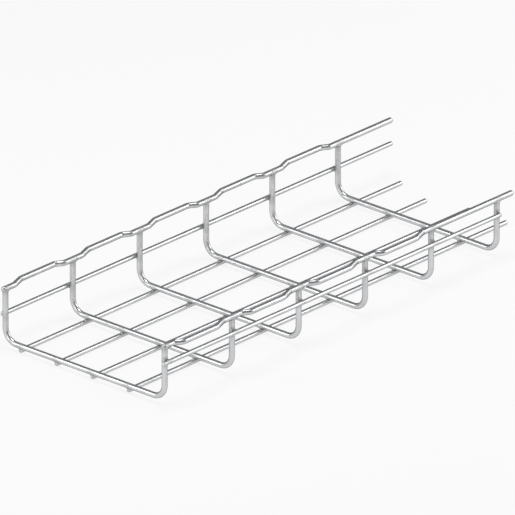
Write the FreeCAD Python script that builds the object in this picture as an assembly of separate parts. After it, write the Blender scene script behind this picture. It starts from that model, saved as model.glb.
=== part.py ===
import FreeCAD, Part

import math
import os

Vector = FreeCAD.Vector

# One section of U-shaped cable basket, welded from round steel wire. All sizes are in millimetres.
# X runs along the basket, from the cut end at its first U wire to the loose ends past its last one.
# +Y is the basket's left side and +Z is up. The origin is the middle of the underside.

# Wire
heavy_wire_diameter = 6.0    # U wires and rim wires
light_wire_diameter = 4.8    # side wires and floor wires
end_flat_diameter = 1.0      # flat spot left in the middle of a rounded wire end

# U wires
u_wire_count = 6
u_wire_pitch = 100.0
leg_spacing = 216.0          # between the centre lines of the two legs
side_height = 57.0           # from the centre line of the floor run up to that of a rim wire
u_bend_radius = 15.0         # of the centre line

# Rim wires: a straight seat on each leg tip, and a wave outwards between the seats. Each wave has a
# long and a short ramp. The right rim is waved like the left one, but turned end for end.
rim_seat_half_length = 13.5  # straight length on each side of a U wire
rim_long_ramp_length = 15.0  # along the basket, between a seat and the crest
rim_short_ramp_length = 8.0
rim_wave_depth = 5.5         # outwards
rim_bend_radius = 7.0        # of the centre line
right_rim_plain_bays = 1     # bays at the far end where the right rim wire stays straight

# Side wires, outside the legs
left_side_wire_height = 27.6  # above the centre line of the floor run
right_side_wire_drop = 15.5   # below the centre line of the rim wire

# Floor wires, under the floor runs, evenly spaced between the first and the last
floor_wire_count = 4
left_floor_margin = 5.2      # from the end of the left bend to the first floor wire's centre line
right_floor_margin = 34.0    # from the end of the right bend to the last floor wire's centre line

# Welds
cross_weld_sink = 0.4        # how deep a U wire is pressed into a light wire that crosses it
rim_weld_sink = 0.8          # how deep a leg tip is pressed into a rim wire

# How far the long wires run past the centre of the first U wire
left_rim_near_overhang = 5.0
right_rim_near_overhang = 3.6
left_side_near_overhang = 0.6
right_side_near_overhang = 8.6
floor_near_overhang = 1.2

# How far the long wires run past the centre of the last U wire
left_rim_far_overhang = 82.0
right_rim_far_overhang = 24.0
left_side_far_overhang = 88.0
right_side_far_overhang = 0.6
floor_far_overhangs = [75.0, 58.0, 70.0, 71.0]

# Values worked out from the sizes above
heavy_radius = heavy_wire_diameter / 2
light_radius = light_wire_diameter / 2
cross_offset = heavy_radius + light_radius - cross_weld_sink
half_width = leg_spacing / 2
floor_run_z = light_radius + cross_offset
rim_z = floor_run_z + side_height
near_reach = max(left_rim_near_overhang, right_rim_near_overhang, left_side_near_overhang,
                 right_side_near_overhang, floor_near_overhang, heavy_radius)
far_reach = max(left_rim_far_overhang, right_rim_far_overhang, left_side_far_overhang,
                right_side_far_overhang, heavy_radius, *floor_far_overhangs)
u_wire_span = (u_wire_count - 1) * u_wire_pitch
first_u_x = (near_reach - u_wire_span - far_reach) / 2
last_u_x = first_u_x + u_wire_span
first_floor_y = half_width - u_bend_radius - left_floor_margin
last_floor_y = -half_width + u_bend_radius + right_floor_margin

LEFT = 1
RIGHT = -1


def bent_path(corners, bend_radius):
    """Centre line through the corners, with a tangent arc at each inner one."""
    edges = []
    start = corners[0]
    for before, corner, after in zip(corners, corners[1:], corners[2:]):
        inward = (corner - before).normalize()
        onward = (after - corner).normalize()
        half_turn = inward.getAngle(onward) / 2
        setback = bend_radius * math.tan(half_turn)
        cut_corner = bend_radius * (1 / math.cos(half_turn) - 1)
        arc_start = corner - inward * setback
        arc_middle = corner + (onward - inward).normalize() * cut_corner
        arc_end = corner + onward * setback
        edges.append(Part.LineSegment(start, arc_start).toShape())
        edges.append(Part.Arc(arc_start, arc_middle, arc_end).toShape())
        start = arc_end
    edges.append(Part.LineSegment(start, corners[-1]).toShape())
    return Part.Wire(edges)


def bent_wire(corners, bend_radius):
    """Heavy round wire bent along the corners."""
    first_run = corners[1] - corners[0]
    section = Part.Wire([Part.makeCircle(heavy_radius, corners[0], first_run)])
    return bent_path(corners, bend_radius).makePipeShell([section], True, False)


def round_ends(solid, ends, diameter):
    """Round off the sharp edge around each cut end of a wire."""
    sharp_edges = [edge for edge in solid.Edges
                   if edge.Closed and min(edge.CenterOfMass.distanceToPoint(end) for end in ends) < 0.01]
    return solid.makeFillet((diameter - end_flat_diameter) / 2, sharp_edges)


def only_solid(shape):
    """The one solid of a shape, which must have no other."""
    (solid,) = shape.Solids
    return solid


def rim_wire(side, near_overhang, far_overhang, outward_ramp, inward_ramp, plain_bays):
    """Rim wire of one side, seated on the leg tips and waved outwards between them."""
    seat_y = side * half_width
    crest_y = seat_y + side * rim_wave_depth
    corners = [Vector(first_u_x - near_overhang, seat_y, rim_z)]
    for bay in range(u_wire_count - 1 - plain_bays):
        near_seat_end = first_u_x + bay * u_wire_pitch + rim_seat_half_length
        far_seat_start = first_u_x + (bay + 1) * u_wire_pitch - rim_seat_half_length
        corners.append(Vector(near_seat_end, seat_y, rim_z))
        corners.append(Vector(near_seat_end + outward_ramp, crest_y, rim_z))
        corners.append(Vector(far_seat_start - inward_ramp, crest_y, rim_z))
        corners.append(Vector(far_seat_start, seat_y, rim_z))
    corners.append(Vector(last_u_x + far_overhang, seat_y, rim_z))
    wire = bent_wire(corners, rim_bend_radius)
    return only_solid(round_ends(wire, [corners[0], corners[-1]], heavy_wire_diameter))


def u_wire(x, rims):
    """Cross wire with two legs and a floor run, its leg tips fitted to the undersides of the rims."""
    tip_z = rim_z - heavy_radius + rim_weld_sink
    corners = [Vector(x, half_width, tip_z),
               Vector(x, half_width, floor_run_z),
               Vector(x, -half_width, floor_run_z),
               Vector(x, -half_width, tip_z)]
    return only_solid(bent_wire(corners, u_bend_radius).cut(rims))


def light_wire(y, z, near_overhang, far_overhang, u_wires):
    """Straight light wire along the basket, with a saddle where each U wire is pressed into it."""
    near_end = Vector(first_u_x - near_overhang, y, z)
    far_end = Vector(last_u_x + far_overhang, y, z)
    run = far_end - near_end
    bar = Part.makeCylinder(light_radius, run.Length, near_end, run)
    return only_solid(round_ends(bar, [near_end, far_end], light_wire_diameter).cut(u_wires))


def side_wires(u_wires):
    """The two light wires that run along the outside of the legs."""
    y = half_width + cross_offset
    left_z = floor_run_z + left_side_wire_height
    right_z = rim_z - right_side_wire_drop
    return {
        "side_wire_left": light_wire(LEFT * y, left_z, left_side_near_overhang,
                                     left_side_far_overhang, u_wires),
        "side_wire_right": light_wire(RIGHT * y, right_z, right_side_near_overhang,
                                      right_side_far_overhang, u_wires),
    }


def floor_wires(u_wires):
    """The light wires that run along the underside, numbered from the left."""
    spacing = (last_floor_y - first_floor_y) / (floor_wire_count - 1)
    wires = {}
    for number in range(floor_wire_count):
        y = first_floor_y + number * spacing
        far_overhang = floor_far_overhangs[number % len(floor_far_overhangs)]
        wires[f"floor_wire_{number + 1}"] = light_wire(y, light_radius, floor_near_overhang,
                                                       far_overhang, u_wires)
    return wires


def basket():
    """Every wire of the basket, by name."""
    left_rim = rim_wire(LEFT, left_rim_near_overhang, left_rim_far_overhang,
                        rim_long_ramp_length, rim_short_ramp_length, 0)
    right_rim = rim_wire(RIGHT, right_rim_near_overhang, right_rim_far_overhang,
                         rim_short_ramp_length, rim_long_ramp_length, right_rim_plain_bays)
    rims = [left_rim, right_rim]
    u_wires = [u_wire(first_u_x + number * u_wire_pitch, rims) for number in range(u_wire_count)]
    wires = {f"u_wire_{number}": wire for number, wire in enumerate(u_wires, start=1)}
    wires["rim_wire_left"] = left_rim
    wires["rim_wire_right"] = right_rim
    wires.update(side_wires(u_wires))
    wires.update(floor_wires(u_wires))
    return wires


os.makedirs("parts", exist_ok=True)
for name, wire in basket().items():
    if not wire.isValid() or not wire.isClosed():
        raise ValueError(f"{name} is not a closed, valid solid")
    wire.exportStep(f"parts/{name}.step")
    print(name, round(wire.Volume, 1), "mm3")
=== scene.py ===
"""Dresses one section of welded wire cable basket: its drawn and bent wires, their welds and zinc plating.

Lengths are in metres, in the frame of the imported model. X runs along the basket towards its loose ends,
+Y is its left side and +Z is up.
"""
from __future__ import annotations

import bisect
import logging
import math
from dataclasses import dataclass
from enum import Enum
from functools import lru_cache
from typing import Iterator, Sequence

import bmesh
import bpy
from mathutils import Matrix, Vector, noise
from mathutils.kdtree import KDTree


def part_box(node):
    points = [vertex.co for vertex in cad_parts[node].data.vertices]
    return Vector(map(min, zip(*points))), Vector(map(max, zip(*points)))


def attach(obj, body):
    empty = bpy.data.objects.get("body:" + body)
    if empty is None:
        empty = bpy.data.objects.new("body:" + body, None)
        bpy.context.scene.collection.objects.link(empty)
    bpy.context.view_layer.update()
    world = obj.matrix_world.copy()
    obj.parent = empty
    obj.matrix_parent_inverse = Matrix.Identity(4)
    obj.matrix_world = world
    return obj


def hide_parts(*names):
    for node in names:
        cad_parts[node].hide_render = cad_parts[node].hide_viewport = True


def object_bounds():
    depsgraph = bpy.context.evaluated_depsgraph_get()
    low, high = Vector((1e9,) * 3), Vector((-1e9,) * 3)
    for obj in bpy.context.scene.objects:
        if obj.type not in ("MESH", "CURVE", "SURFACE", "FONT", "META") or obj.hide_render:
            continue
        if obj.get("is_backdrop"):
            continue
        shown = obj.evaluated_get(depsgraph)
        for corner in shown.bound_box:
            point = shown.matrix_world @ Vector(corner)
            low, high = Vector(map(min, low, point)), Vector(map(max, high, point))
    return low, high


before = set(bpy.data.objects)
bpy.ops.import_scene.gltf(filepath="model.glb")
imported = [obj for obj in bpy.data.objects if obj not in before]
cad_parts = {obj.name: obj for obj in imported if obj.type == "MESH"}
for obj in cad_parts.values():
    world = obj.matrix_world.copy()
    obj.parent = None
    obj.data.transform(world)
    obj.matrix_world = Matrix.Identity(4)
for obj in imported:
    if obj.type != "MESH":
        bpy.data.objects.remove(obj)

LOG = logging.getLogger("cable_basket")
MM = 0.001
BODY = "root"
DRAWN = "drawn"          # attribute of a wire's points: where they were before it was bent
WELD_HEAT = "weld_heat"  # attribute of a wire's points: how much a weld's heat shows there, from 0 to 1
Colour = tuple[float, float, float]
Place = tuple[float, float, float]
Density = tuple[float, float, float]


@lru_cache(maxsize=None)
def node_box(node: str) -> tuple[Vector, Vector]:
    """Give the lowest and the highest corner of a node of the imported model."""
    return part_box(node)


class Side(Enum):
    """The two sides of the basket, as the sign of Y."""

    LEFT = 1
    RIGHT = -1


class Gauge(Enum):
    """The two wire thicknesses, by the material slot that each one takes."""

    HEAVY = "heavy_wire"
    LIGHT = "light_wire"


@dataclass(frozen=True)
class WireStock:
    """Round drawn wire of one diameter, as it comes off the coil."""

    gauge: Gauge
    radius: float
    sides: int
    ring_step: float = 1.0 * MM
    cut_flat_radius: float = 0.5 * MM
    cut_segments: int = 6
    end_run_factor: float = 1.05  # length of the stretch without rings at a cut end, over its rounding

    def cut(self, length: float, rounding: float) -> bmesh.types.BMesh:
        """Cut a straight length along X from the origin.

        Args:
            length: From one cut end to the other.
            rounding: Radius that both cut ends are rounded off with.

        Returns:
            A closed mesh with a ring of vertices about every ring step.
        """
        bm = bmesh.new()
        across = Matrix.Rotation(math.pi / 2, 4, "Y")
        bmesh.ops.create_circle(bm, segments=self.sides, radius=self.radius, matrix=across)
        end_run = rounding * self.end_run_factor
        body_run = length - 2 * end_run
        ring = list(bm.edges)
        for run in (end_run, body_run, end_run):
            swept = bmesh.ops.spin(bm, geom=ring, axis=(1, 0, 0), angle=0, steps=1, dvec=(run, 0, 0))
            ring = [part for part in swept["geom_last"] if isinstance(part, bmesh.types.BMEdge)]
        caps = bmesh.ops.holes_fill(bm, edges=bm.edges[:])["faces"]
        bmesh.ops.recalc_face_normals(bm, faces=bm.faces[:])
        cap_edges = [edge for cap in caps for edge in cap.edges]
        bmesh.ops.bevel(bm, geom=cap_edges, offset=rounding, offset_type="OFFSET",
                        segments=self.cut_segments, profile=0.5, affect="EDGES", material=-1)
        body_edges = [edge for edge in bm.edges if edge.calc_length() > body_run / 2]
        rings = round(body_run / self.ring_step) - 1
        bmesh.ops.subdivide_edges(bm, edges=body_edges, cuts=rings, use_grid_fill=True)
        return bm

    def full_rounding(self) -> float:
        """Give the rounding of a free end, which leaves only a small flat spot in its middle."""
        return self.radius - self.cut_flat_radius


HEAVY_WIRE = WireStock(Gauge.HEAVY, radius=3.0 * MM, sides=36)
LIGHT_WIRE = WireStock(Gauge.LIGHT, radius=2.4 * MM, sides=32)


def rim_height() -> float:
    """Give the height of the rim wires' centre lines."""
    _, high = node_box("rim_wire_left")
    return high.z - HEAVY_WIRE.radius


@dataclass(frozen=True)
class Span:
    """A straight run or an arc of a centre line. A straight run has no pivot."""

    start: float    # distance along the line
    origin: Vector  # the place there
    onward: Vector
    side: Vector
    up: Vector
    pivot: Vector | None = None
    axis: Vector | None = None


class CentreLine:
    """The line that a bent wire follows: straight runs between corners, joined by tangent arcs."""

    def __init__(self, corners: Sequence[Vector], bend_radius: float = 0.0) -> None:
        """Lay the line through its corners.

        Args:
            corners: The two ends, and the corners between them.
            bend_radius: Radius of the arc that replaces each inner corner, if there is one.
        """
        self.bend_radius = bend_radius
        self.spans: list[Span] = []
        onward = (corners[1] - corners[0]).normalized()
        side = onward.orthogonal().normalized()
        up = onward.cross(side)
        start = corners[0].copy()
        length = 0.0
        for before, corner, after in zip(corners, corners[1:], corners[2:]):
            inward = (corner - before).normalized()
            outward = (after - corner).normalized()
            turn = inward.angle(outward)
            setback = bend_radius * math.tan(turn / 2)
            arc_start = corner - inward * setback
            axis = inward.cross(outward).normalized()
            self.spans.append(Span(length, start, inward, side, up))
            length += (arc_start - start).length
            pivot = arc_start + axis.cross(inward) * bend_radius
            self.spans.append(Span(length, arc_start, inward, side, up, pivot, axis))
            length += bend_radius * turn
            turned = Matrix.Rotation(turn, 3, axis)
            side = turned @ side
            up = turned @ up
            start = corner + outward * setback
        onward = (corners[-1] - corners[-2]).normalized()
        self.spans.append(Span(length, start, onward, side, up))
        self.length = length + (corners[-1] - start).length
        self._starts = [span.start for span in self.spans]

    def place(self, drawn: Vector) -> Vector:
        """Carry a point of the straight wire onto the bent one.

        Args:
            drawn: Distance along the wire, and the two distances across it.

        Returns:
            The point's place in the basket.
        """
        span = self.spans[max(0, bisect.bisect_right(self._starts, drawn.x) - 1)]
        along = drawn.x - span.start
        across = span.side * drawn.y + span.up * drawn.z
        if span.pivot is None:
            return span.origin + span.onward * along + across
        turned = Matrix.Rotation(along / self.bend_radius, 3, span.axis)
        return span.pivot + turned @ (span.origin - span.pivot + across)


@dataclass(frozen=True)
class Rod:
    """A straight stretch of wire at a weld, with round ends."""

    start: Vector
    end: Vector
    radius: float

    def reach(self, point: Vector) -> tuple[float, Vector]:
        """Measure how far a point is from the wire's wall.

        Args:
            point: The point.

        Returns:
            The distance, which is negative inside the wire, and the direction away from its centre line.
        """
        run = self.end - self.start
        share = max(0.0, min(1.0, (point - self.start).dot(run) / run.length_squared))
        away = point - (self.start + run * share)
        return away.length - self.radius, away.normalized()


@dataclass(frozen=True)
class Weld:
    """A spot where two wires are welded: its middle, and the stretch of each wire there, by node."""

    middle: Vector
    rods: dict[str, Rod]

    @classmethod
    def between(cls, first_node: str, first: Rod, second_node: str, second: Rod) -> Weld:
        """Find the weld of two wires that cross at right angles, or of which the first ends on the second.

        Args:
            first_node: The first wire's node.
            first: Its stretch at the weld.
            second_node: The second wire's node.
            second: Its stretch at the weld.

        Returns:
            The weld, midway between the two centre lines.
        """
        first_run = (first.end - first.start).normalized()
        second_run = (second.end - second.start).normalized()
        near_first = first.start + first_run * (second.start - first.start).dot(first_run)
        near_second = second.start + second_run * (near_first - second.start).dot(second_run)
        across = (first.end - first.start).cross(second.end - second.start).normalized()
        if abs((second.start - first.start).dot(across)) < first.radius:
            # The centre lines meet, so the first wire ends on the second one.
            near_first = first.end
        return cls((near_first + near_second) / 2, {first_node: first, second_node: second})


@dataclass(frozen=True)
class WeldBead:
    """How the metal that a resistance weld squeezes out fills the corner between two wires."""

    blend: float = 2.0 * MM        # gap to the other wire at which the bead begins
    unevenness: float = 0.22 * MM
    grain: float = 900.0           # lumps to a metre
    lap: float = 0.12 * MM         # how far the two wires' halves of a bead reach into each other
    passes: int = 10
    reach: float = 7.0 * MM        # how far from a weld's middle the corner is filled
    halo_start: float = 3.5 * MM   # how far from there the heat shows in full
    halo_end: float = 9.0 * MM     # how far from there it shows at all

    def fill(self, point: Vector, own: Rod, other: Rod) -> Vector:
        """Move a point of a wire's wall straight out onto its own half of the weld's bead.

        The bead is a smooth union of the two walls, a quarter of the blend high where they meet, with
        lumps on it. Each pass moves the point by what is still missing.

        Args:
            point: A point on the wire's wall.
            own: The wire's own stretch at the weld.
            other: The wire that it is welded to.

        Returns:
            The point's new place, which is the old one away from the corner or inside the other wire.
        """
        other_gap, _ = other.reach(point)
        if not 0 < other_gap < self.blend:
            return point
        own_gap, outward = own.reach(point)
        moved = point
        for _ in range(self.passes):
            overlap = max(0.0, 1.0 - abs(own_gap - other_gap) / self.blend)
            lump = self.unevenness * overlap * (0.5 + noise.noise(moved * self.grain))
            height = overlap * overlap * self.blend / 4 + lump
            to_bead = height - min(own_gap, other_gap)
            to_middle = (other_gap + self.lap - own_gap) / 2
            moved = moved + outward * max(0.0, min(to_bead, to_middle))
            own_gap, _ = own.reach(moved)
            other_gap, _ = other.reach(moved)
        return moved

    def halo(self, distance: float) -> float:
        """Give how much a weld's heat shows, which fades out smoothly.

        Args:
            distance: How far the point is from the weld's middle.

        Returns:
            The heat, from 0 to 1.
        """
        share = (self.halo_end - distance) / (self.halo_end - self.halo_start)
        share = max(0.0, min(1.0, share))
        return share * share * (3 - 2 * share)


@dataclass(frozen=True)
class WireCut:
    """One wire of the basket, ready to be made: its node, stock, centre line and end rounding."""

    node: str
    stock: WireStock
    line: CentreLine
    rounding: float


class WireSet:
    """A sub-assembly of like wires."""

    def cuts(self) -> Iterator[WireCut]:
        """Plan the wires, which each kind of set does in its own way."""
        raise NotImplementedError

    def build(self, shop: WireShop) -> Iterator[bpy.types.Object]:
        """Have the wires made.

        Args:
            shop: The shop that makes them.

        Returns:
            The finished pieces, one at a time.
        """
        for cut in self.cuts():
            yield shop.make(cut)


@dataclass(frozen=True)
class UWires(WireSet):
    """The heavy cross wires, each bent once into a left leg, a floor run and a right leg."""

    count: int = 6
    stock: WireStock = HEAVY_WIRE
    bend_radius: float = 15.0 * MM
    tip_drop: float = 1.0 * MM      # from a rim wire's centre line down to the leg tips sunk in it
    tip_rounding: float = 1.2 * MM

    def node(self, number: int) -> str:
        """Name a U wire, counted from 1."""
        return f"u_wire_{number}"

    def x(self, number: int) -> float:
        """Give the place of a U wire along the basket."""
        low, high = node_box(self.node(number))
        return (low.x + high.x) / 2

    def floor_z(self) -> float:
        """Give the height of the floor runs."""
        low, _ = node_box(self.node(1))
        return low.z + self.stock.radius

    def leg_y(self, side: Side) -> float:
        """Give the place of one side's legs across the basket."""
        low, high = node_box(self.node(1))
        return side.value * ((high.y - low.y) / 2 - self.stock.radius)

    def tip_z(self) -> float:
        """Give the height of the leg tips."""
        return rim_height() - self.tip_drop

    def cuts(self) -> Iterator[WireCut]:
        """Plan each U wire.

        Returns:
            The wires, from the cut end of the basket to its loose ends.
        """
        left, right = self.leg_y(Side.LEFT), self.leg_y(Side.RIGHT)
        tip, floor = self.tip_z(), self.floor_z()
        for number in range(1, self.count + 1):
            x = self.x(number)
            corners = [Vector((x, left, tip)), Vector((x, left, floor)),
                       Vector((x, right, floor)), Vector((x, right, tip))]
            line = CentreLine(corners, self.bend_radius)
            yield WireCut(self.node(number), self.stock, line, self.tip_rounding)

    def floor_run(self, number: int) -> Rod:
        """Give the straight stretch of a U wire's floor run.

        Args:
            number: The U wire, counted from 1.

        Returns:
            The stretch, from bend to bend.
        """
        x, z = self.x(number), self.floor_z()
        bend_y = self.leg_y(Side.LEFT) - self.bend_radius
        return Rod(Vector((x, -bend_y, z)), Vector((x, bend_y, z)), self.stock.radius)

    def leg(self, number: int, side: Side) -> Rod:
        """Give the straight stretch of a U wire's leg.

        Args:
            number: The U wire, counted from 1.
            side: The leg's side of the basket.

        Returns:
            The stretch, from the bend to the leg's tip.
        """
        x, y = self.x(number), self.leg_y(side)
        bend_z = self.floor_z() + self.bend_radius
        top = self.tip_z() - self.tip_rounding
        return Rod(Vector((x, y, bend_z)), Vector((x, y, top)), self.stock.radius)


@dataclass(frozen=True)
class RimWires(WireSet):
    """The heavy wires on the leg tips, with a wave outwards between one leg and the next."""

    u_wires: UWires
    stock: WireStock = HEAVY_WIRE
    seat_half_length: float = 13.5 * MM
    long_ramp: float = 15.0 * MM
    short_ramp: float = 8.0 * MM
    bend_radius: float = 7.0 * MM
    right_plain_bays: int = 1

    def node(self, side: Side) -> str:
        """Name the rim wire of one side."""
        return f"rim_wire_{side.name.lower()}"

    def cuts(self) -> Iterator[WireCut]:
        """Plan the two rim wires, of which the right one is waved end for end.

        Returns:
            The left and the right rim wire.
        """
        yield self._waved(Side.LEFT, self.long_ramp, self.short_ramp, 0)
        yield self._waved(Side.RIGHT, self.short_ramp, self.long_ramp, self.right_plain_bays)

    def _waved(self, side: Side, outward_ramp: float, inward_ramp: float, plain_bays: int) -> WireCut:
        """Plan one rim wire.

        Args:
            side: Its side of the basket.
            outward_ramp: Length along the basket of each ramp from a seat to a crest.
            inward_ramp: Length along the basket of each ramp from a crest to a seat.
            plain_bays: Bays at the far end without a wave.

        Returns:
            The wire.
        """
        low, high = node_box(self.node(side))
        seat_y, z = self.u_wires.leg_y(side), rim_height()
        crest_y = (high.y if side is Side.LEFT else low.y) - side.value * self.stock.radius
        corners = [Vector((low.x, seat_y, z))]
        for bay in range(1, self.u_wires.count - plain_bays):
            seat_end = self.u_wires.x(bay) + self.seat_half_length
            seat_start = self.u_wires.x(bay + 1) - self.seat_half_length
            corners += [Vector((seat_end, seat_y, z)), Vector((seat_end + outward_ramp, crest_y, z)),
                        Vector((seat_start - inward_ramp, crest_y, z)), Vector((seat_start, seat_y, z))]
        corners.append(Vector((high.x, seat_y, z)))
        line = CentreLine(corners, self.bend_radius)
        return WireCut(self.node(side), self.stock, line, self.stock.full_rounding())

    def seat(self, number: int, side: Side) -> Rod:
        """Give the stretch of a rim wire that sits on one leg tip.

        Args:
            number: The U wire, counted from 1.
            side: The side of the basket.

        Returns:
            The stretch, cut short where the wire ends.
        """
        low, high = node_box(self.node(side))
        x, y, z = self.u_wires.x(number), self.u_wires.leg_y(side), rim_height()
        start = max(x - self.seat_half_length, low.x + self.stock.radius)
        end = min(x + self.seat_half_length, high.x - self.stock.radius)
        return Rod(Vector((start, y, z)), Vector((end, y, z)), self.stock.radius)


@dataclass(frozen=True)
class StraightWires(WireSet):
    """Light wires that run straight along the basket."""

    stock: WireStock = LIGHT_WIRE

    def nodes(self) -> list[str]:
        """Name the wires."""
        raise NotImplementedError

    def middle(self, node: str) -> tuple[float, float]:
        """Give the Y and Z of a wire's centre line."""
        raise NotImplementedError

    def ends(self, node: str) -> tuple[Vector, Vector]:
        """Give the two ends of a wire's centre line.

        Args:
            node: The wire's node.

        Returns:
            The near and the far end.
        """
        low, high = node_box(node)
        y, z = self.middle(node)
        return Vector((low.x, y, z)), Vector((high.x, y, z))

    def cuts(self) -> Iterator[WireCut]:
        """Plan each wire.

        Returns:
            The wires in the order of their names.
        """
        for node in self.nodes():
            yield WireCut(node, self.stock, CentreLine(self.ends(node)), self.stock.full_rounding())

    def rod(self, node: str) -> Rod:
        """Give a wire from end to end.

        Args:
            node: The wire's node.

        Returns:
            The stretch between its round ends.
        """
        near, far = self.ends(node)
        inset = Vector((self.stock.radius, 0, 0))
        return Rod(near + inset, far - inset, self.stock.radius)


@dataclass(frozen=True)
class SideWires(StraightWires):
    """The two light wires along the outside of the legs."""

    def node(self, side: Side) -> str:
        """Name the side wire of one side."""
        return f"side_wire_{side.name.lower()}"

    def nodes(self) -> list[str]:
        """Name the side wires, the left one first."""
        return [self.node(side) for side in Side]

    def middle(self, node: str) -> tuple[float, float]:
        """Give the Y and Z of a wire's centre line, measured across from its outer wall.

        Args:
            node: The wire's node.

        Returns:
            Its place across the basket and its height.
        """
        low, high = node_box(node)
        y = math.copysign(max(abs(low.y), abs(high.y)) - self.stock.radius, low.y)
        return y, (low.z + high.z) / 2


@dataclass(frozen=True)
class FloorWires(StraightWires):
    """The light wires along the underside of the floor runs."""

    count: int = 4

    def nodes(self) -> list[str]:
        """Name the floor wires, counted from the left."""
        return [f"floor_wire_{number}" for number in range(1, self.count + 1)]

    def middle(self, node: str) -> tuple[float, float]:
        """Give the Y and Z of a wire's centre line, measured up from its underside.

        Args:
            node: The wire's node.

        Returns:
            Its place across the basket and its height.
        """
        low, high = node_box(node)
        return (low.y + high.y) / 2, low.z + self.stock.radius


@dataclass(frozen=True)
class Basket:
    """One section of basket: its four sub-assemblies and the welds that join them."""

    u_wires: UWires
    rim_wires: RimWires
    side_wires: SideWires
    floor_wires: FloorWires

    def wire_sets(self) -> tuple[WireSet, ...]:
        """Give the sub-assemblies in the order that they are made in."""
        return self.u_wires, self.rim_wires, self.side_wires, self.floor_wires

    def welds(self) -> list[Weld]:
        """List every weld.

        Returns:
            The welds, one U wire after the other.
        """
        found = []
        for number in range(1, self.u_wires.count + 1):
            u_wire = self.u_wires.node(number)
            for side in Side:
                leg = self.u_wires.leg(number, side)
                rim_wire, side_wire = self.rim_wires.node(side), self.side_wires.node(side)
                found.append(Weld.between(u_wire, leg, rim_wire, self.rim_wires.seat(number, side)))
                found.append(Weld.between(u_wire, leg, side_wire, self.side_wires.rod(side_wire)))
            floor_run = self.u_wires.floor_run(number)
            for floor_wire in self.floor_wires.nodes():
                found.append(Weld.between(u_wire, floor_run, floor_wire, self.floor_wires.rod(floor_wire)))
        return found


class Signal:
    """A value that varies over a surface: an output socket that Python's operators work on."""

    def __init__(self, graph: ShaderGraph, socket: bpy.types.NodeSocket | None) -> None:
        """Wrap a socket of a graph."""
        self.graph = graph
        self.socket = socket

    def _math(self, operation: str, *values: Signal | float) -> Signal:
        """Put the values through one Math node."""
        return self.graph.node("ShaderNodeMath", {"operation": operation}, dict(enumerate(values)))

    def __add__(self, other: Signal | float) -> Signal:
        """Add."""
        return self._math("ADD", self, other)

    __radd__ = __add__

    def __sub__(self, other: Signal | float) -> Signal:
        """Subtract."""
        return self._math("SUBTRACT", self, other)

    def __rsub__(self, other: float) -> Signal:
        """Subtract from a number."""
        return self._math("SUBTRACT", other, self)

    def __mul__(self, other: Signal | float) -> Signal:
        """Multiply."""
        return self._math("MULTIPLY", self, other)

    __rmul__ = __mul__

    def __truediv__(self, other: Signal | float) -> Signal:
        """Divide."""
        return self._math("DIVIDE", self, other)

    def __rtruediv__(self, other: float) -> Signal:
        """Divide a number."""
        return self._math("DIVIDE", other, self)

    def centred(self, width: float) -> Signal:
        """Spread a value from 0 to 1 over a width about 0."""
        return (self - 0.5) * width

    def clamped(self) -> Signal:
        """Hold the value between 0 and 1."""
        settings = {"operation": "ADD", "use_clamp": True}
        return self.graph.node("ShaderNodeMath", settings, {0: self, 1: 0.0})

    def above(self, threshold: float, softness: float) -> Signal:
        """Rise from 0 to 1 over a softness past a threshold."""
        return ((self - threshold) / softness).clamped()


@dataclass(frozen=True)
class Pattern:
    """Smooth noise over a wire: its features to a metre, along and across, its finer layers and shift."""

    density: Density
    detail: float
    shift: float = 0.0


class ShaderGraph:
    """A node tree, built by one call a node. The numbers are places of the Mix node's colour sockets."""

    MIX_SHARE = 0
    MIX_FIRST = 6
    MIX_SECOND = 7
    MIX_RESULT = 2

    def __init__(self, owner: bpy.types.Material | bpy.types.World) -> None:
        """Start an empty tree.

        Args:
            owner: The material or the world that it belongs to.
        """
        owner.use_nodes = True
        self.tree = owner.node_tree
        self.tree.nodes.clear()

    def node(self, kind: str, settings: dict[str, object], sockets: dict[int | str, object],
             output: int | str = 0) -> Signal:
        """Add a node.

        Args:
            kind: Its Blender type.
            settings: Its own properties, which are set first.
            sockets: Numbers, colours, vectors or signals for its inputs, by name or place.
            output: The output to hand on, by name or place.

        Returns:
            That output.
        """
        made = self.tree.nodes.new(kind)
        for name, value in settings.items():
            setattr(made, name, value)
        for key, value in sockets.items():
            if isinstance(value, Signal):
                self.tree.links.new(value.socket, made.inputs[key])
            else:
                made.inputs[key].default_value = value
        return Signal(self, made.outputs[output] if len(made.outputs) else None)

    def noise(self, place: Signal, pattern: Pattern) -> Signal:
        """Add smooth noise.

        Args:
            place: Where each point lies.
            pattern: How dense and how fine it is.

        Returns:
            The noise, mostly between 0.3 and 0.7.
        """
        shift = (pattern.shift, pattern.shift, pattern.shift)
        scaled = self.node("ShaderNodeVectorMath", {"operation": "MULTIPLY_ADD"},
                           {0: place, 1: pattern.density, 2: shift})
        sockets = {"Vector": scaled, "Scale": 1.0, "Detail": pattern.detail}
        return self.node("ShaderNodeTexNoise", {}, sockets)

    def mix(self, share: Signal | float, first: Signal | Colour, second: Signal | Colour) -> Signal:
        """Mix two colours.

        Args:
            share: How much of the second one shows.
            first: The colour at 0.
            second: The colour at 1.

        Returns:
            The mixed colour.
        """
        ends = [end if isinstance(end, Signal) else (*end, 1.0) for end in (first, second)]
        sockets = {self.MIX_SHARE: share, self.MIX_FIRST: ends[0], self.MIX_SECOND: ends[1]}
        return self.node("ShaderNodeMix", {"data_type": "RGBA"}, sockets, self.MIX_RESULT)


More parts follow.
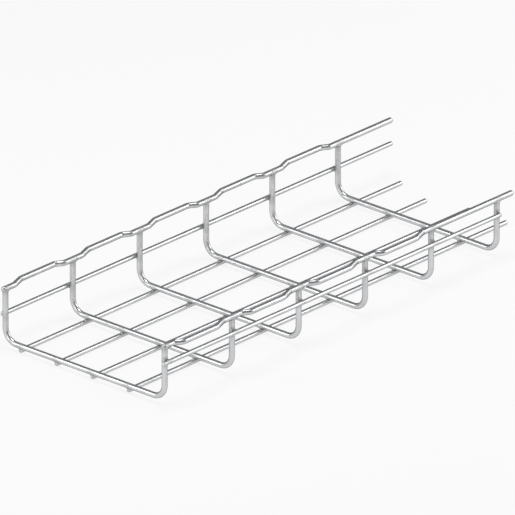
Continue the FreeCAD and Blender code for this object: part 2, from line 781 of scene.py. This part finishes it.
@dataclass(frozen=True)
class ZincPlating:
    """Bright zinc plating over drawn steel wire, with faint die lines, clouding and duller welds.

    A contrast is how strongly a pattern turns the plating from clouded to bright, a roughening is what it
    adds to the roughness, and a relief is its share of the bump.
    """

    name: str
    bright: Colour
    clouded: Colour
    weld: Colour
    roughness: float
    edge_tint: Colour = (0.05, 0.05, 0.055)  # dims grazing reflections, so that the wires' edges are dark
    clouds: Pattern = Pattern((60.0, 170.0, 170.0), 3.0)
    flecks: Pattern = Pattern((1400.0, 1400.0, 1400.0), 2.0, 31.0)
    die_lines: Pattern = Pattern((22.0, 2600.0, 2600.0), 1.0, 67.0)
    cloud_contrast: float = 2.2
    die_line_contrast: float = 0.9
    fleck_contrast: float = 0.6
    scorch_cover: float = 0.55
    scorch_raggedness: float = 1.5
    cloud_roughening: float = 0.10
    weld_roughening: float = 0.14
    fleck_roughening: float = 0.08
    die_line_relief: float = 0.55
    fleck_relief: float = 0.3
    weld_relief: float = 0.9
    relief_strength: float = 0.6
    relief_height: float = 0.015 * MM

    def material(self) -> bpy.types.Material:
        """Make the finish.

        Returns:
            The material, which reads each wire's own straight coordinates and weld heat.
        """
        made = bpy.data.materials.new(self.name)
        graph = ShaderGraph(made)
        place = graph.node("ShaderNodeAttribute", {"attribute_name": DRAWN}, {}, "Vector")
        heat = graph.node("ShaderNodeAttribute", {"attribute_name": WELD_HEAT}, {}, "Fac")
        clouds = graph.noise(place, self.clouds)
        flecks = graph.noise(place, self.flecks)
        die_lines = graph.noise(place, self.die_lines)
        patchy = (0.5 + clouds.centred(self.cloud_contrast) + die_lines.centred(self.die_line_contrast)
                  + flecks.centred(self.fleck_contrast)).clamped()
        plated = graph.mix(patchy, self.clouded, self.bright)
        scorched = heat * (self.scorch_cover + flecks.centred(self.scorch_raggedness)).clamped()
        colour = graph.mix(scorched, plated, self.weld)
        rough = (self.roughness + (0.5 - patchy) * self.cloud_roughening + heat * self.weld_roughening
                 + flecks.centred(self.fleck_roughening)).clamped()
        relief = die_lines * self.die_line_relief + flecks * (self.fleck_relief + heat * self.weld_relief)
        bumped = graph.node("ShaderNodeBump", {}, {"Strength": self.relief_strength,
                                                   "Distance": self.relief_height, "Height": relief})
        shader = graph.node("ShaderNodeBsdfPrincipled", {},
                            {"Base Color": colour, "Metallic": 1.0, "Roughness": rough, "Normal": bumped,
                             "Specular Tint": (*self.edge_tint, 1.0)})
        graph.node("ShaderNodeOutputMaterial", {}, {"Surface": shader})
        return made


class WireShop:
    """Makes each wire of the basket: cuts it, bends it, beads its welds and plates it."""

    pattern_step: float = 1.7  # shift of the surface pattern from each wire to the next

    def __init__(self, welds: Sequence[Weld], bead: WeldBead, platings: dict[Gauge, ZincPlating]) -> None:
        """Set up the shop.

        Args:
            welds: Every weld of the basket.
            bead: The shape of a weld.
            platings: The finish of each gauge.
        """
        self.welds = welds
        self.bead = bead
        self.materials = {gauge: plating.material() for gauge, plating in platings.items()}
        self.made = 0

    def make(self, cut: WireCut) -> bpy.types.Object:
        """Make one wire.

        Args:
            cut: The wire.

        Returns:
            The finished piece, which stands for the wire's node.
        """
        bm = cut.stock.cut(cut.line.length, cut.rounding)
        self._bend(bm, cut.line)
        self._weld(bm, cut.node)
        mesh = bpy.data.meshes.new(f"{cut.node}_plated")
        bm.to_mesh(mesh)
        bm.free()
        mesh.shade_smooth()
        mesh.materials.append(self.materials[cut.stock.gauge])
        piece = bpy.data.objects.new(f"{cut.node}_plated", mesh)
        bpy.context.scene.collection.objects.link(piece)
        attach(piece, BODY)
        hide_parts(cut.node)
        self.made += 1
        return piece

    def _bend(self, bm: bmesh.types.BMesh, line: CentreLine) -> None:
        """Bend a straight wire, and note on its points where they were.

        Args:
            bm: The wire.
            line: The line that it is bent along.
        """
        drawn = bm.verts.layers.float_vector.new(DRAWN)
        shift = Vector((self.made * self.pattern_step, 0, 0))
        for vertex in bm.verts:
            vertex[drawn] = vertex.co + shift
            vertex.co = line.place(vertex.co)

    def _weld(self, bm: bmesh.types.BMesh, node: str) -> None:
        """Bead a wire's welds, and note on its points how much they were heated.

        Args:
            bm: The wire, in its place.
            node: Its node.
        """
        own = [weld for weld in self.welds if node in weld.rods]
        tree = KDTree(len(own))
        for index, weld in enumerate(own):
            tree.insert(weld.middle, index)
        tree.balance()
        heat = bm.verts.layers.float.new(WELD_HEAT)
        for vertex in bm.verts:
            _, index, distance = tree.find(vertex.co)
            vertex[heat] = self.bead.halo(distance)
            if distance < self.bead.reach:
                rods = own[index].rods
                (other,) = (rods[name] for name in rods if name != node)
                vertex.co = self.bead.fill(vertex.co, rods[node], other)


@dataclass(frozen=True)
class SoftBox:
    """A round, soft studio lamp that faces the basket. Its power is in watts."""

    name: str
    place: Place
    width: float
    power: float
    target: Place = (0.0, 0.0, 0.03)

    def hang(self) -> None:
        """Hang the lamp, out of the camera's sight."""
        lamp = bpy.data.lights.new(self.name, "AREA")
        lamp.shape = "DISK"
        lamp.size = self.width
        lamp.energy = self.power
        hung = bpy.data.objects.new(self.name, lamp)
        hung.location = self.place
        aim = Vector(self.target) - Vector(self.place)
        hung.rotation_euler = aim.to_track_quat("-Z", "Y").to_euler()
        hung.visible_camera = False
        bpy.context.scene.collection.objects.link(hung)


@dataclass(frozen=True)
class Studio:
    """A pale floor, even light from all round, and soft lamps round the basket and overhead."""

    lamps: Sequence[SoftBox]
    floor_colour: Colour = (0.88, 0.88, 0.88)
    floor_half_width: float = 8.0
    backdrop_colour: Colour = (1.0, 1.0, 1.0)
    backdrop_share: float = 0.8     # how much of the floor that is seen is this plain white, not lit paint
    sky_colour: Colour = (0.15, 0.15, 0.15)
    horizon_colour: Colour = (0.9, 0.9, 0.9)
    horizon_height: float = 0.035   # sine of the angle up to which the wall round the floor is pale
    horizon_softness: float = 0.035

    def build(self) -> None:
        """Build the studio."""
        self._lay_floor()
        self._paint_sky()
        for lamp in self.lamps:
            lamp.hang()
        bpy.context.scene.view_settings.view_transform = "Standard"

    def _lay_floor(self) -> None:
        """Lay the floor under the basket."""
        bm = bmesh.new()
        bmesh.ops.create_grid(bm, x_segments=1, y_segments=1, size=self.floor_half_width)
        mesh = bpy.data.meshes.new("studio_floor")
        bm.to_mesh(mesh)
        bm.free()
        mesh.materials.append(self._floor_paint())
        floor = bpy.data.objects.new("studio_floor", mesh)
        bpy.context.scene.collection.objects.link(floor)
        floor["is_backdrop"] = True

    def _floor_paint(self) -> bpy.types.Material:
        """Make the floor's matt white.

        Returns:
            The material, which looks whiter to the camera and in reflections than it is, and keeps shadows.
        """
        made = bpy.data.materials.new("studio_floor")
        graph = ShaderGraph(made)
        seen = self._seen(graph)
        matt = graph.node("ShaderNodeBsdfDiffuse", {}, {"Color": (*self.floor_colour, 1.0)})
        plain = graph.node("ShaderNodeEmission", {},
                           {"Color": (*self.backdrop_colour, 1.0), "Strength": 1.0})
        shader = graph.node("ShaderNodeMixShader", {}, {0: seen * self.backdrop_share, 1: matt, 2: plain})
        graph.node("ShaderNodeOutputMaterial", {}, {"Surface": shader})
        return made

    @staticmethod
    def _seen(graph: ShaderGraph) -> Signal:
        """Tell the rays that show the backdrop itself: straight, mirrored or through glass.

        Args:
            graph: The tree to add the nodes to.

        Returns:
            1 for such a ray and 0 for any other.
        """
        rays = [graph.node("ShaderNodeLightPath", {}, {}, name)
                for name in ("Is Camera Ray", "Is Glossy Ray", "Is Transmission Ray")]
        return (rays[0] + rays[1] + rays[2]).clamped()

    def _paint_sky(self) -> None:
        """Light the room evenly, with a pale wall all round that carries on the floor's white."""
        world = bpy.data.worlds.new("studio_room")
        bpy.context.scene.world = world
        graph = ShaderGraph(world)
        direction = graph.node("ShaderNodeTexCoord", {}, {}, "Generated")
        height = graph.node("ShaderNodeSeparateXYZ", {}, {0: direction}, "Z")
        overhead = height.above(self.horizon_height, self.horizon_softness)
        room = graph.mix(overhead, self.horizon_colour, self.sky_colour)
        glow = graph.node("ShaderNodeBackground", {}, {"Color": room, "Strength": 1.0})
        graph.node("ShaderNodeOutputWorld", {}, {"Surface": glow})


@dataclass(frozen=True)
class LongLens:
    """A camera far away behind a very long lens, so that parallel wires look parallel."""

    azimuth: float = -47.932        # degrees, from a view along +Y
    elevation: float = 23.469       # degrees
    lens: float = 1600.0            # millimetres
    sensor_width: float = 36.0      # millimetres
    distance: float = 23.0892
    clip_factor: float = 2.0
    target: Place = (-0.03173, 0.0, 0.04667)

    def set_up(self) -> None:
        """Place the camera and make it the scene's own."""
        azimuth, elevation = math.radians(self.azimuth), math.radians(self.elevation)
        back = Vector((math.sin(azimuth) * math.cos(elevation), -math.cos(azimuth) * math.cos(elevation),
                       math.sin(elevation)))
        optics = bpy.data.cameras.new("long_lens")
        optics.sensor_width = self.sensor_width
        optics.lens = self.lens
        optics.clip_start = self.distance / self.clip_factor
        optics.clip_end = self.distance * self.clip_factor
        camera = bpy.data.objects.new("long_lens", optics)
        camera.location = Vector(self.target) + back * self.distance
        camera.rotation_euler = (-back).to_track_quat("-Z", "Y").to_euler()
        bpy.context.scene.collection.objects.link(camera)
        bpy.context.scene.camera = camera


PLATINGS = {
    Gauge.HEAVY: ZincPlating("zinc_on_heavy_wire", bright=(0.70, 0.71, 0.72), clouded=(0.58, 0.585, 0.595),
                             weld=(0.46, 0.46, 0.455), roughness=0.30),
    Gauge.LIGHT: ZincPlating("zinc_on_light_wire", bright=(0.72, 0.73, 0.74), clouded=(0.60, 0.605, 0.615),
                             weld=(0.48, 0.48, 0.475), roughness=0.28),
}
LAMPS = [
    SoftBox("right_softbox", (1.36, -1.24, 0.95), width=1.5, power=14.0),
    SoftBox("near_left_softbox", (-1.36, 1.24, 0.95), width=1.5, power=14.0),
    SoftBox("left_softbox", (1.36, 1.24, 0.95), width=1.2, power=1.0),
    SoftBox("near_right_softbox", (-1.36, -1.24, 0.95), width=1.2, power=2.4),
    SoftBox("far_end_softbox", (2.2, 0.0, 0.75), width=1.1, power=8.0),
    SoftBox("near_end_softbox", (-2.2, 0.0, 0.75), width=1.1, power=8.0),
    SoftBox("top_softbox", (0.0, 0.0, 2.0), width=1.0, power=17.0),
]


def write_sizes(cad_box: tuple[Vector, Vector]) -> None:
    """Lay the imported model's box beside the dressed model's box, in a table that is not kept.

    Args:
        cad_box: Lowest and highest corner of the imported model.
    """
    boxes = {"cad": cad_box, "visual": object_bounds()}
    {name: [list(corner) for corner in box] for name, box in boxes.items()}


def main() -> None:
    """Build the studio, and every wire of the basket in it."""
    logging.basicConfig(level=logging.INFO, format="%(message)s")
    cad_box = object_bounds()
    LongLens().set_up()
    Studio(LAMPS).build()
    u_wires = UWires()
    basket = Basket(u_wires, RimWires(u_wires), SideWires(), FloorWires())
    shop = WireShop(basket.welds(), WeldBead(), PLATINGS)
    for wire_set in basket.wire_sets():
        for piece in wire_set.build(shop):
            LOG.info("%s: %d faces", piece.name, len(piece.data.polygons))
    write_sizes(cad_box)


if __name__ == "__main__":
    main()
